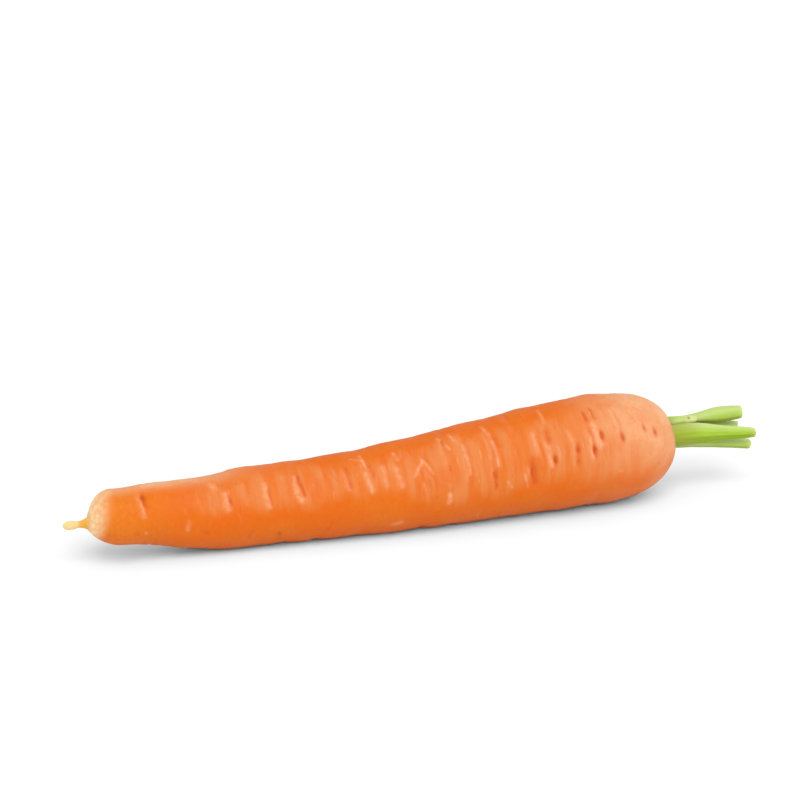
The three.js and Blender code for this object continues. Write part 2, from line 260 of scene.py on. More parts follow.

# ---- Skin: strokes, as (distance and turn of one end, those of the other, width, strength) ----
# Pale strokes: raised pale scratches, partly painted highlight
PALE_STROKES = [
    (15.6, 42, 16, 74, 0.4, 0.6), (29.3, 98, 29.9, 83, 0.5, 0.35), (38.4, 22, 39.6, 32, 0.7, 0.5),
    (42.2, 45, 42.4, 67, 0.8, 0.6), (54.9, 40, 55.5, 72, 0.6, 0.7), (65.2, 33, 64.9, 52, 0.5, 0.8),
    (65, 52, 65.6, 68, 0.7, 0.9), (81, 40, 81.4, 62, 0.6, 0.5), (87.4, 13, 88.2, 38, 0.35, 0.6),
    (87.6, 45, 88.6, 68, 0.6, 0.8), (84, 16, 87.2, 22, 0.3, 0.4), (93.2, 40, 93.5, 66, 0.6, 0.4),
    (97.6, 46, 98.2, 68, 0.8, 0.5), (98, 22, 98.6, 33, 0.4, 0.6), (102.7, 60, 106.5, 41, 0.3, 0.8),
    (106.5, 41, 108.8, 60, 0.3, 0.7), (113.9, 90, 113.8, 101, 0.5, 0.9),
    (113.4, 14, 115.8, 34, 0.35, 0.6), (117.6, 12, 118.4, 24, 0.35, 0.5),
    (120.6, 34, 121.2, 70, 0.4, 0.5), (129, 10, 130.2, 38, 0.4, 0.5), (130.2, 38, 130.8, 66, 0.4, 0.6),
    (133.3, 86, 134.8, 94, 0.25, 0.5), (139.2, 81, 140.2, 96, 0.25, 0.5),
    (148.2, 56, 148.6, 77, 0.6, 0.8), (151.4, 58, 151.7, 70, 0.5, 0.3), (149.4, 4, 149, 28, 0.35, 0.5),
    (165.2, 43, 165.9, 64, 0.9, 1), (162.7, 54, 163.1, 76, 0.4, 0.7), (173.6, 28, 174, 52, 0.5, 0.7),
    (182.3, -6, 182.8, 10, 0.5, 0.4), (171.5, 95, 173, 96, 0.25, 0.5),
    (143.6, 40, 144, 62, 0.5, 0.4), (155, 44, 157, 60, 0.5, 0.35),
    (96, 124, 98.5, 122, 0.6, 0.5), (16.3, 106, 16.4, 108, 0.3, 0.6),
]
# Deep strokes: dents coloured as crease bottoms, partly painted shade
DEEP_STROKES = [
    (43.3, 48, 43.6, 62, 0.35, 0.5), (66, 32, 67, 62, 0.45, 0.9), (81.8, 32, 82, 60, 0.6, 0.5),
    (89.4, 34, 89.9, 50, 0.5, 0.5), (114.3, 20, 114.5, 26, 0.3, 0.9), (114.6, 56, 114.8, 62, 0.3, 0.6),
    (129.1, 74, 129.5, 92, 0.6, 0.8), (142, 68, 142.3, 93, 0.9, 0.9), (148.6, 38, 148.9, 50, 0.7, 0.6),
    (163.2, 26, 163.3, 36, 0.5, 0.8), (166.2, 22, 166.5, 34, 0.6, 0.7), (138.4, -2, 138.6, 10, 0.3, 0.5),
    (55.9, 48, 56.4, 70, 0.35, 0.5), (16.4, 32, 16.6, 52, 0.4, 0.8), (131, 32, 132, 44, 0.6, 0.5),
    (49.9, 106, 48.6, 120, 0.3, 0.6), (75.5, 108, 74.2, 122, 0.3, 0.6),
]
BROWN_STROKES = [
    (58.6, 116, 59.3, 131, 0.5, 0.8), (34.6, 100, 35.4, 103, 0.5, 0.5), (13.2, 106, 13.8, 109, 0.4, 0.5),
    (16.2, 33, 16.4, 37, 0.3, 0.7), (43.4, 55, 43.4, 57, 0.3, 0.7),
]
# Each kind of stroke: how far it stands up, the mask that it colours, and how strongly
STROKE_KINDS = (
    (PALE_STROKES, 0.07, "lip", 1.1),
    (DEEP_STROKES, -0.2, "groove", 1),
    (BROWN_STROKES, 0, "brown", 1),
)
# In stroke widths: how soft a stroke's edge is, and how far along the root it reaches
STROKE_SOFTNESS = 1.35
STROKE_REACH = 3

# ---- Leaf stalks: their mesh, and fine detail that the solids leave out ----
STALK_AROUND = 60
STALK_RINGS = 70
STALK_WANDER = 0.05
STALK_WANDER_LENGTH = 7
# As shares: (start, length) of the slanted end of a stalk and of its pale edges
SLANT_FROM = (0.93, 0.07)
MARGIN_FROM = (0.75, 0.25)
# The brown spot's middle and half size, along the stalk as shares and round it as angles
SPOT_SHARES = (0.68, 0.05)
SPOT_ANGLES = (1.9, 0.5)
# The rings of a cut end, as shares of its size, and the shares at which it hollows out
CUT_RINGS = (0.985, 0.94, 0.85, 0.7, 0.5, 0.25)
CUT_RIM_DROP = 0.12
CUT_HOLLOW = 0.35
CUT_HOLLOW_TO = (0.95, 0.6)
CUT_RAGGED = 0.05
CUT_RAGGED_TO = 0.9
CUT_COLOUR_EDGE = 8

# ---- Finish ----
# Skin and stalks throw this grey on the floor in place of their own colour
FLOOR_GLOW = (0.45, 0.45, 0.45)
GLOW_DEPTH = 1.5
SKIN_FINISH = dict(
    shine=0.14, glow=0.15, glow_colour=(1, 0.35, 0.1), bump=0.6, bump_height=0.14, duller=0.12,
)
STALK_FINISH = dict(
    shine=0.25, glow=0.3, glow_colour=(0.5, 1, 0.15), bump=0.4, bump_height=0.1, duller=0.15,
)
FLOOR_WHITES = ((0.94, 0.94, 0.945), (0.95, 0.95, 0.955))

# ---- Stage ----
# The way towards each light, and its width in degrees
KEY_LIGHT = ((-0.06, -0.6, 0.8), 50)
SIDE_LIGHT = ((0.7, -0.35, 0.62), 60)
# The camera's nearest and farthest sight, in metres
CAMERA_CLIP = (0.05, 30)


# ---------------------------------------------------------------- settings

def number_setting(name, description, default, **more):
    return FloatProperty(name=name, description=description, default=default, **more)


def length_setting(*given):
    return number_setting(*given, unit="LENGTH", precision=5)


def share_setting(*given):
    return number_setting(*given, min=0, max=1, subtype="FACTOR")


def colour_setting(name, description, default):
    return FloatVectorProperty(name=name, description=description, default=default,
                               subtype="COLOR", size=3, min=0, max=1)


class CarrotSkinSettings(bpy.types.PropertyGroup):
    """Sizes and colours of the root's skin."""

    fine_creases: IntProperty(
        name="Fine creases", description="How many fine creases the skin has", default=230, min=0)
    ripples: IntProperty(
        name="Ripples", description="How many low ripples run part of the way round", default=520,
        min=0)
    ripple_height: length_setting("Ripple height", "Height of the low ripples", 0.00004)
    lump_height: length_setting("Lump height", "Height of the low lumps of the skin", 0.00009)
    flesh: colour_setting("Flesh", "Main orange of the skin", (0.725, 0.138, 0.003))
    deep: colour_setting("Deep flesh", "Deeper orange in patches", (0.69, 0.106, 0.002))
    light: colour_setting("Light flesh", "Paler orange in patches", (0.72, 0.172, 0.01))
    # Crease: deeper orange of the crease bottoms and deep strokes, partly painted shade, and the painted
    # shade of the underside
    crease: colour_setting("Crease", "Bottom of the creases", (0.64, 0.09, 0.003))
    # Lip: pale lips of creases and scars and pale scratches, partly pale scar tissue, partly painted
    # highlight
    lip: colour_setting("Crease lip", "Pale lips of the creases", (0.84, 0.39, 0.2))
    scar: colour_setting("Scar", "Middle of the side-root scars", (0.6, 0.08, 0.004))
    brown: colour_setting("Brown", "Small brown marks", (0.4, 0.065, 0.006))
    # Tip: partly the tip's own paler skin, partly a painted grazing highlight
    tip: colour_setting("Tip", "Pale rim of the blunt tip", (0.93, 0.66, 0.36))
    # Peach: partly dry pale skin, partly painted highlight over the tip and on top of the shoulder
    peach_sheen: colour_setting("Peach", "Dry pale skin on the shoulder and over the tip", (0.8, 0.42, 0.215))
    # Sheen: painted highlight, salmon bands of reflected light along the rows of scars
    sheen: colour_setting("Sheen", "Salmon bands along the rows of scars", (0.72, 0.228, 0.064))
    young: colour_setting("Young skin", "Yellower skin near the tip", (0.73, 0.2, 0.012))
    stem: colour_setting("Tail stem", "Stem of the tail", (0.78, 0.4, 0.06))
    tail: colour_setting("Tail end", "Dry end of the tail", (0.84, 0.62, 0.28))
    crown: colour_setting("Crown", "Green and brown skin round the stalks", (0.33, 0.24, 0.045))
    gloss: share_setting("Roughness", "How dull the skin is", 0.46)


class CarrotStalkSettings(bpy.types.PropertyGroup):
    """Colours of the leaf stalks."""

    green: colour_setting("Green", "Main green of the stalks", (0.36, 0.56, 0.018))
    # Pale: ribs and fibres, and painted top light on each stalk's upper side
    pale_and_top_light: colour_setting("Pale green", "Upper side and ribs", (0.49, 0.62, 0.18))
    # Deep: green patches, and painted shade on each stalk's underside
    deep: colour_setting("Deep green", "Underside", (0.24, 0.35, 0.008))
    base: colour_setting("Base", "Olive at the foot of the stalks", (0.32, 0.36, 0.03))
    membrane: colour_setting("Membrane", "Thin dry edges near the foot", (0.62, 0.66, 0.3))
    cut: colour_setting("Cut end", "Pale flesh of the cut end", (0.66, 0.74, 0.32))
    spot: colour_setting("Spot", "Brown spot on the old leaf base", (0.4, 0.22, 0.03))
    dry_and_sheen: colour_setting("Dry leaf base", "Old leaf base", (0.42, 0.46, 0.05))
    gloss: share_setting("Roughness", "How dull the stalks are", 0.42)


class CarrotStageSettings(bpy.types.PropertyGroup):
    """The floor, the light and the camera."""

    floor_size: length_setting("Floor size", "Length of the floor's sides", 12)
    sky: number_setting("Sky", "Brightness of the even light", 0.73)
    key: number_setting("Key light", "Strength of the light from the front and above", 1.39)
    side: number_setting("Side light", "Strength of the light from the crown's side", 0.3)
    target: FloatVectorProperty(
        name="Target", description="Point that the camera looks at",
        default=(0.00951, 0.04833, 0.025), subtype="XYZ", unit="LENGTH")
    azimuth: number_setting(
        "Azimuth", "Camera's turn round the carrot", math.radians(-19), unit="ROTATION")
    elevation: number_setting(
        "Elevation", "Camera's angle above the floor", math.radians(19), unit="ROTATION")
    distance: length_setting("Distance", "From the camera to its target", 0.9)
    lens: number_setting("Lens", "Focal length in millimetres", 119.03)


# ---------------------------------------------------------------- numbers

def seeded_random(seed):
    """A seeded stream of numbers, the same one that places the solid's hidden creases."""
    whole = 0xFFFFFFFF
    state = seed
    while True:
        state = (state + 0x6D2B79F5) & whole
        mix = ((state ^ (state >> 15)) * (1 | state)) & whole
        mix = ((mix + (mix ^ (mix >> 7)) * (61 | mix)) & whole) ^ mix
        yield ((mix ^ (mix >> 14)) & whole) / 4294967296


def draw_between(stream, limits):
    return limits[0] + (limits[1] - limits[0]) * next(stream)


def along_stations(stations, distance):
    """The value at each distance on a smooth curve through (distance, value) stations."""
    at, value = np.array(stations, float).T
    slope = np.empty_like(value)
    slope[1:-1] = (value[2:] - value[:-2]) / (at[2:] - at[:-2])
    slope[0] = (value[1] - value[0]) / (at[1] - at[0])
    slope[-1] = (value[-1] - value[-2]) / (at[-1] - at[-2])
    place = np.clip(distance, at[0], at[-1])
    i = np.clip(np.searchsorted(at, place, side="right") - 1, 0, len(at) - 2)
    span = at[i + 1] - at[i]
    t = (place - at[i]) / span
    here = (2 * t**3 - 3 * t**2 + 1) * value[i] + (t**3 - 2 * t**2 + t) * span * slope[i]
    ahead = (3 * t**2 - 2 * t**3) * value[i + 1] + (t**3 - t**2) * span * slope[i + 1]
    return here + ahead


def smooth(t):
    t = np.clip(t, 0, 1)
    return t * t * (3 - 2 * t)


def bell(off):
    return np.exp(-off * off)


def past(place, start, edge):
    """0 up to a place and 1 beyond it, with a smooth edge."""
    return smooth((place - start) / edge)


def before(place, end, edge):
    """1 well before a place and 0 beyond it, with a smooth edge."""
    return smooth((end - place) / edge)


def turn_between(turn, middle):
    return (turn - middle + 180) % 360 - 180


def on_side(turn, middle, reach, edge):
    """1 round the middle of a side of the root and 0 beyond its reach, with a smooth edge."""
    return smooth((reach - np.abs(turn_between(turn, middle))) / edge)


# ---------------------------------------------------------------- the root's form

def plain_radius(distance):
    """Radius of the root's plain round section, with a smooth neck where the tail starts."""
    short = np.clip((TIP_CAP - distance) / TIP_CAP, 0, 1)
    cap = along_stations(GIRTH, TIP_CAP) * np.sqrt(1 - short**2)
    cap = np.hypot(cap, NECK_RADIUS * np.exp(-np.maximum(distance, 0) / NECK_REACH))
    over = np.clip((distance - SHOULDER_START) / (ROOT_LENGTH - SHOULDER_START), 0, 1)
    shoulder = along_stations(GIRTH, SHOULDER_START) * (1 - over**SHOULDER_FALL) ** (1 / SHOULDER_ROUND)
    on_root = np.where(distance < TIP_CAP, cap, along_stations(GIRTH, distance))
    on_root = np.where(distance > SHOULDER_START, shoulder, on_root)
    return np.where(distance <= 0, along_stations(TAIL, distance), on_root)


def axis_line(distance):
    """Middle of the root's section at each distance."""
    body = np.clip(distance, TIP_CAP, SHOULDER_START)
    to_crown = np.maximum(0, distance - (ROOT_LENGTH - CROWN_RISE_LENGTH)) / CROWN_RISE_LENGTH
    to_tail = np.clip(1 - distance / TAIL_DROP_BLEND, 0, 1)
    height = (along_stations(GIRTH, body) + along_stations(UNDERSIDE, distance) - FLAT_TRIM
              + CROWN_RISE * to_crown**2 - TAIL_DROP * to_tail**3)
    return distance, along_stations(SWAY, distance), height


def solid_rings():
    """Distances of the solid's rings between its cap and its shoulder."""
    body = []
    for at, _, _, depth in CREASES:
        if depth > SOLID_DEEP_CREASE:
            body += [at - SOLID_CREASE_STEP, at, at + SOLID_CREASE_STEP]
    for at in range(TIP_CAP + SOLID_BODY_STEP, SHOULDER_START, SOLID_BODY_STEP):
        if all(abs(other - at) > SOLID_BODY_STEP / 2 for other in body):
            body.append(at)
    return sorted(body)


def all_creases_and_scars():
    """The plain creases and scars, and those drawn for the sides turned away."""
    stream = seeded_random(SEED)
    rings = solid_rings()
    creases, scars = list(CREASES), list(SCARS)
    step = len(rings) / HIDDEN_CREASES
    for i in range(HIDDEN_CREASES):
        at = rings[int((i + next(stream)) * step)]
        turn = draw_between(stream, HIDDEN_CREASE_TURNS)
        spread = draw_between(stream, HIDDEN_CREASE_SPREADS)
        creases.append((at, turn, spread, draw_between(stream, HIDDEN_CREASE_DEPTHS)))
    for row_turn in HIDDEN_ROW_TURNS:
        at = HIDDEN_SCAR_STEP * (1 + next(stream))
        while at < SHOULDER_START:
            place = at + HIDDEN_SCAR_SHIFT * (next(stream) - 0.5)
            turn = row_turn + HIDDEN_ROW_WANDER * (next(stream) - 0.5)
            scars.append((place, turn, draw_between(stream, HIDDEN_SCAR_DEPTHS)))
            at += HIDDEN_SCAR_STEP
    return creases, scars


def skin_rings():
    """Distances of the fine skin's rings, from the tail's end to the crown."""
    tail = TAIL[0][0] * np.cos(np.linspace(0, np.pi / 2, SKIN_TAIL_RINGS + 1)[1:-1])
    cap_turn = np.linspace(np.arcsin(FIRST_RING_SHARE), np.pi / 2, SKIN_CAP_RINGS)
    cap = TIP_CAP * (1 - np.cos(cap_turn))
    body = np.linspace(TIP_CAP, SHOULDER_START, SKIN_BODY_RINGS + 1)[1:]
    share = np.sin(np.linspace(0, np.pi / 2, SKIN_SHOULDER_RINGS + 1)[1:-1]) ** (2 / SHOULDER_FALL)
    shoulder = SHOULDER_START + (ROOT_LENGTH - SHOULDER_START) * share
    return np.concatenate([tail, [0], cap, body, shoulder])


class SkinMap:
    """The fine skin as a grid of rings, with its relief and its colour masks."""

    def __init__(self, settings):
        self.distance = skin_rings()[:, None]
        self.turn = np.arange(SKIN_AROUND)[None, :] * (360 / SKIN_AROUND)
        self.radius = plain_radius(self.distance)
        shape = (len(self.distance), SKIN_AROUND)
        self.height = np.zeros(shape)
        self.masks = {name: np.zeros(shape) for name in ("groove", "lip", "scar", "brown")}
        self.on_body = past(self.distance, *RELIEF_FROM) * before(self.distance, *RELIEF_TO)
        self.random = np.random.default_rng(FINE_SEED)
        creases, scars = all_creases_and_scars()
        self.add_oval()
        for crease in creases:
            self.add_crease(*crease)
        for scar in scars:
            self.add_scar(*scar)
        self.add_fine_creases(settings.fine_creases)
        self.add_ripples(settings.ripples, settings.ripple_height / MM)
        self.add_lumps(settings.lump_height / MM)
        self.add_strokes()

    def rows_near(self, at, reach):
        return slice(*np.searchsorted(self.distance[:, 0], (at - reach, at + reach)))

    def add_oval(self):
        wide = np.cos(2 * np.radians(self.turn - OVAL_TURN))
        self.height += self.radius * OVAL * wide * self.on_body

    def wave(self, place, height, shortest, longest):
        """A wave of a random length and start."""
        length = self.random.uniform(shortest, longest)
        return height * np.sin(2 * np.pi * (place / length + self.random.uniform()))

    def add_crease(self, at, middle, spread, depth, width=CREASE_WIDTH, lean=0):
        """A crease that strays a little: a soft bulge, a narrow bottom, then an easy rise."""
        rows = self.rows_near(at, CREASE_REACH)
        turn = turn_between(self.turn, middle)
        stray = sum(self.wave(turn, *wave) for wave in CREASE_STRAYS) + lean * turn
        ends = smooth(CREASE_END_SHARPNESS * (1 - np.abs(turn) / spread))
        fade = ends * (1 - CREASE_UNEVEN[0] + self.wave(turn, *CREASE_UNEVEN))
        off = (self.distance[rows] - at - stray) / width
        profile = sum(height * bell((off - place) / wide) for place, wide, height in CREASE_PROFILE)
        self.height[rows] += depth * fade * profile * self.on_body[rows]
        # Deeper orange at the bottom, partly painted shade, and a pale lip on the bulge, partly painted
        # highlight
        strength = min(1, depth / CREASE_FULL_COLOUR_DEPTH) * fade
        for mask, (place, sharpness, share) in CREASE_COLOURS.items():
            self.masks[mask][rows] += share * strength * bell((off - place) * sharpness)

    def add_scar(self, at, middle, depth):
        """A small scar: a pit longer round the root than along it, in a shallow dent."""
        rows = self.rows_near(at, SCAR_REACH * SCAR_SIZE)
        across = np.radians(turn_between(self.turn, middle)) * self.radius[rows]
        along = self.distance[rows] - at
        dent = bell(np.hypot(along, across) / SCAR_SIZE)
        pit = bell(np.hypot(along / SCAR_ALONG, across / SCAR_AROUND))
        # A pale lip on the scar's tipward side, partly painted highlight
        lip_along = (along + SCAR_LIP_PLACE * SCAR_ALONG) / SCAR_ALONG
        self.height[rows] -= depth * (SCAR_DENT * dent + SCAR_PIT * pit)
        self.masks["scar"][rows] += SCAR_COLOUR * depth * pit
        self.masks["lip"][rows] += SCAR_LIP * depth * bell(np.hypot(lip_along, across / SCAR_AROUND))

    def add_fine_creases(self, count):
        """Short fine creases, most of them on the rows of scars."""
        for _ in range(count):
            at = self.random.uniform(TIP_CAP, SHOULDER_START)
            row = self.random.choice(CREASE_ROWS, p=CREASE_ROW_SHARES)
            middle = self.random.normal(row, CREASE_ROW_SPREAD)
            spread = self.random.uniform(*FINE_CREASE_SPREADS)
            depth = self.random.uniform(*FINE_CREASE_DEPTHS)
            width = self.random.uniform(*FINE_CREASE_WIDTHS)
            self.add_crease(at, middle, spread, depth, width, self.random.uniform(*FINE_CREASE_LEANS))

    def add_ripples(self, count, height):
        """Low ripples, up or down, that run part of the way round."""
        for _ in range(count):
            at = self.random.uniform(0, ROOT_LENGTH)
            rows = self.rows_near(at, CREASE_REACH)
            turn = turn_between(self.turn, self.random.uniform(0, 360))
            fade = smooth(1 - np.abs(turn) / self.random.uniform(*RIPPLE_SPREADS))
            stray = self.wave(turn, *RIPPLE_STRAY)
            off = (self.distance[rows] - at - stray) / self.random.uniform(*RIPPLE_WIDTHS)
            up = height * self.random.normal()
            self.height[rows] += up * fade * bell(off) * self.on_body[rows]

    def near_stroke(self, start, start_turn, end, end_turn, width):
        """The rows round a stroke, and how near each of their points is to it, from 0 to 1."""
        rows = self.rows_near((start + end) / 2, abs(end - start) / 2 + STROKE_REACH * width)
        radius = self.radius[rows]
        along = self.distance[rows] - start
        across = np.radians(turn_between(self.turn, start_turn)) * radius
        ahead = end - start
        aside = math.radians(end_turn - start_turn) * radius
        share = np.clip((along * ahead + across * aside) / (ahead**2 + aside**2), 0, 1)
        off = np.hypot(along - share * ahead, across - share * aside) / (STROKE_SOFTNESS * width)
        return rows, bell(off)

    def add_strokes(self):
        """Pale scratches stand up a little, deep strokes are dents, brown ones only colour. Pale ones
        carry partly painted highlight, deep ones partly painted shade.
        """
        for strokes, rise, mask, share in STROKE_KINDS:
            for *stroke, strength in strokes:
                rows, near = self.near_stroke(*stroke)
                self.height[rows] += rise * strength * near
                self.masks[mask][rows] += share * strength * near

    def add_lumps(self, height):
        """Low lumps: waves along and around the root that never line up."""
        around = np.radians(self.turn)
        total = np.zeros_like(self.height)
        for _ in range(LUMP_COUNT):
            length = self.random.uniform(*LUMP_LENGTHS)
            turns = self.random.integers(0, LUMP_TURNS)
            phase = self.random.uniform(0, 2 * np.pi)
            total += np.cos(2 * np.pi * self.distance / length + turns * around + phase)
        ends = past(self.distance, *LUMPS_FROM) * before(self.distance, *LUMPS_TO)
        self.height += height * total * np.sqrt(2 / LUMP_COUNT) * ends

    def points(self):
        """Points of the skin in the root's own frame, in millimetres."""
        radius = self.radius + self.height
        turn = np.radians(self.turn)
        flatten = np.where(self.distance <= 0, TAIL_FLATTEN, 1)
        x, y, z = axis_line(self.distance)
        lean = CROWN_LEAN * past(self.distance, ROOT_LENGTH - CROWN_LEAN_LENGTH, CROWN_LEAN_LENGTH)
        dish = np.maximum(0, 1 - (self.radius / CROWN_DISH_RADIUS) ** 2)
        dish *= self.distance > SHOULDER_START
        grid = np.empty(self.height.shape + (3,))
        grid[..., 0] = x - lean * radius * np.cos(turn) - CROWN_DISH_DEPTH * dish**2
        grid[..., 1] = y - radius * flatten * np.sin(turn)
        grid[..., 2] = z + radius * np.cos(turn)
        return grid

    def sheen(self):
        """Painted highlight: paler salmon skin in place of reflected light, along the rows of scars and
        wider towards the crown.
        """
        wider = past(self.distance, *SHEEN_WIDER_FROM)
        total = np.zeros(self.height.shape)
        for middle, spread, more in SHEEN_ROWS:
            grown = 0.5 * more * wider
            off = turn_between(self.turn, middle + grown)
            edge = sum(self.wave(self.distance, *wave) for wave in SHEEN_STRAYS)
            total += smooth((spread + grown + edge - np.abs(off)) / SHEEN_EDGE)
        return total * past(self.distance, *SHEEN_FROM)

    def peach_sheen_mask(self):
        """Pale peach skin over the tip and on the shoulder, strongest on top: partly dry skin, partly a
        painted highlight.
        """
        at, turn = self.distance, self.turn
        over_tip = past(at, *PEACH_SHEEN_TIP_FROM) * before(at, *PEACH_SHEEN_TIP_TO) * on_side(turn, *PEACH_SHEEN_TIP_SIDE)
        least, more = PEACH_SHEEN_ALL_ROUND
        all_round = least + more * past(at, *PEACH_SHEEN_CROWN_FROM)
        on_top = all_round + (1 - all_round) * on_side(turn, *PEACH_SHEEN_SHOULDER_SIDE)
        return over_tip + past(at, *PEACH_SHEEN_SHOULDER_FROM) * on_top

    def place_masks(self):
        """Masks that depend on the place: tip rim and peach, both partly painted highlight, young skin,
        painted sheen, painted underside shade, tail, crown.
        """
        at, (reach, more) = self.distance, TIP_REACHES
        tip_reach = reach + more * np.cos(np.radians(self.turn - TIP_REACH_TURN))
        masks = {
            "tip": TIP_COLOUR * smooth(1 - at / tip_reach),
            "dry_and_sheen": self.peach_sheen_mask(),
            "sheen": self.sheen(),
            "young": before(at, *YOUNG_TO),
            "low": on_side(self.turn, *PAINTED_UNDERSIDE_SHADE),
            "stem": before(at, *STEM_TO),
            "tail": before(at, *TAIL_END_TO),
            "crown": before(self.radius, *CROWN_RING_RADIUS) * (at > SHOULDER_START),
        }
        return filled(masks, self.height.shape)


def filled(masks, shape):
    return {name: values * np.ones(shape) for name, values in masks.items()}


def grid_mesh(name, first, grid, masks):
    """A closed mesh over a first point, rings of points and the last ring's middle, with masks."""
    rings, around = grid.shape[:2]
    points = np.vstack([first, grid.reshape(-1, 3), grid[-1].mean(axis=0)])
    k = np.arange(around)
    ahead = (k + 1) % around
    starts = 1 + around * np.arange(rings)[:, None]
    here, there = starts[:-1], starts[1:]
    walls = np.stack([here + k, here + ahead, there + ahead, there + k], axis=-1).reshape(-1, 4)
    tip_fan = np.stack([0 * k, 1 + ahead, 1 + k], axis=-1)
    end_fan = np.stack([0 * k + len(points) - 1, starts[-1] + k, starts[-1] + ahead], axis=-1)
    mesh = bpy.data.meshes.new(name)
    mesh.from_pydata(points * MM, [], tip_fan.tolist() + walls.tolist() + end_fan.tolist())
    mesh.shade_smooth()
    for mask, values in masks.items():
        layer = mesh.attributes.new(mask, "FLOAT", "POINT")
        flat = np.concatenate([[values[0].mean()], values.ravel(), [values[-1].mean()]])
        layer.data.foreach_set("value", np.clip(flat, 0, 1).astype(np.float32))
    mesh.update()
    return mesh


def new_object(name, data):
    """An object in the scene for a mesh, a lamp or a camera."""
    made = bpy.data.objects.new(name, data)
    bpy.context.scene.collection.objects.link(made)
    return made


def add_piece(name, mesh, node, material):
    """An object for a mesh, which stands for a solid node and rides with the carrot."""
    piece = new_object(name, mesh)
    mesh.materials.append(material)
    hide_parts(node)
    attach(piece, BODY)


def frame_shift():
    """From the root's own frame to the shared frame, in millimetres."""
    low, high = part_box("root")
    middle = (low.y + high.y) / 2 / MM
    return np.array([low.x / MM - TAIL[0][0], middle - root_middle_y(), 0])


def root_middle_y():
    """Middle of the plain root's width in its own frame."""
    distance = skin_rings()
    radius = plain_radius(distance)
    _, sway, _ = axis_line(distance)
    wide = 1 + OVAL * math.cos(2 * math.radians(90 - OVAL_TURN))
    return ((sway + radius * wide).max() + (sway - radius * wide).min()) / 2


def kept_in_box(points, node, room=0):
    """Points in millimetres, held inside a solid node's box, with some room below it."""
    low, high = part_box(node)
    return np.clip(points, np.array(low) / MM - np.array([0, 0, room]), np.array(high) / MM)


# ---------------------------------------------------------------- leaf stalks

def unit(vectors):
    return vectors / np.linalg.norm(vectors, axis=-1, keepdims=True)


def stalk_points(stalk, seed):
    """Rings of one leaf stalk round the stalks' middle, in millimetres, and its colour masks."""
    random = np.random.default_rng(seed)
    turn = math.radians(stalk["turn"])
    outward = np.array([0, -math.sin(turn), math.cos(turn)])
    root = outward * stalk["out"] - np.array([SOCKET_DEPTH, 0, 0])
    end = np.array(stalk["end"], float)
    length = end[0] - root[0]
    leave = root.copy()
    leave[0] += length * LEAVE
    arrive = end + (leave - end) * ARRIVE
    t = np.linspace(0, 1, STALK_RINGS)[:, None]
    path = ((1 - t) ** 3 * root + 3 * (1 - t) ** 2 * t * leave
            + 3 * (1 - t) * t**2 * arrive + t**3 * end)
    along = unit(3 * (1 - t) ** 2 * (leave - root) + 6 * (1 - t) * t * (arrive - leave)
                 + 3 * t**2 * (end - arrive))
    out = unit(outward - (along @ outward)[:, None] * along)
    across = np.cross(out, along)
    shape = smooth(t)
    half_width = along_stations([(s, w) for s, w, _ in stalk["sections"]], t) / 2
    half_thick = along_stations([(s, k) for s, _, k in stalk["sections"]], t) / 2
    bow = (1 + (WRAP_AT_TIP - 1) * shape) / (2 * stalk["wrap"])
    angle = 2 * np.pi * np.arange(STALK_AROUND)[None, :] / STALK_AROUND
    side = np.sign(np.cos(angle)) * np.abs(np.cos(angle)) ** SECTION_FULLNESS
    face = np.sin(angle)
    x = half_width * side
    ribs = np.cos(np.pi * RIB_COUNT * side)
    rib = np.where(face > 0, RIB_HEIGHT * ribs * face, 0)
    groove = np.where(face < 0, GROOVE_DEPTH * shape * bell(side / GROOVE_WIDTH), 0)
    waves = t * length / STALK_WANDER_LENGTH + random.uniform()
    wander = STALK_WANDER * np.cos(2 * np.pi * waves + 2 * angle)
    y = half_thick * face + rib + groove - x * x * bow + wander * (1 - t)
    rings = path[:, None] + across[:, None] * x[..., None] + out[:, None] * y[..., None]
    slant = past(t, *SLANT_FROM) * stalk["slant"] * y
    rings += along[:, None] * slant[..., None]
    # How far down each point lies on its ring, for the painted top light and painted underside shade
    below = rings[..., 2].max(axis=1, keepdims=True) - rings[..., 2]
    rings[..., 2] -= stalk.get("fill", 0) * np.clip(-face, 0, 1)
    spot_share, spot_length = SPOT_SHARES
    spot_angle, spot_width = SPOT_ANGLES
    masks = {
        "rib": 0.5 + 0.5 * ribs * np.clip(face, 0, 1),
        "share": t,
        "margin": past(np.abs(side), *MARGIN_FROM),
        "under": below / below.max(axis=1, keepdims=True) + stalk["shade"],
        "cut": 0,
        "spot": bell(np.hypot((t - spot_share) / spot_length, (angle - spot_angle) / spot_width)),
    }
    return rings, filled(masks, y.shape), along[-1], random


def add_cut_end(rings, masks, along, random):
    """The cut end: a rounded rim, then a slightly hollow face."""
    middle = rings[-1].mean(axis=0)
    rim = rings[-1] - middle
    rings[-1] -= along * CUT_RIM_DROP
    ragged = random.uniform(-CUT_RAGGED, CUT_RAGGED, (len(rim), 1))
    shares = np.array(CUT_RINGS)[:, None, None]
    hollow = CUT_HOLLOW * before(shares, *CUT_HOLLOW_TO) + ragged * (shares < CUT_RAGGED_TO)
    face = middle + rim * shares - along * hollow
    more = len(CUT_RINGS)
    masks = {name: np.vstack([values] + [values[-1:]] * more) for name, values in masks.items()}
    masks["cut"][-more:] = np.minimum(1, (1 - shares[..., 0]) * CUT_COLOUR_EDGE)
    return np.concatenate([rings, face]), masks


# ---------------------------------------------------------------- materials

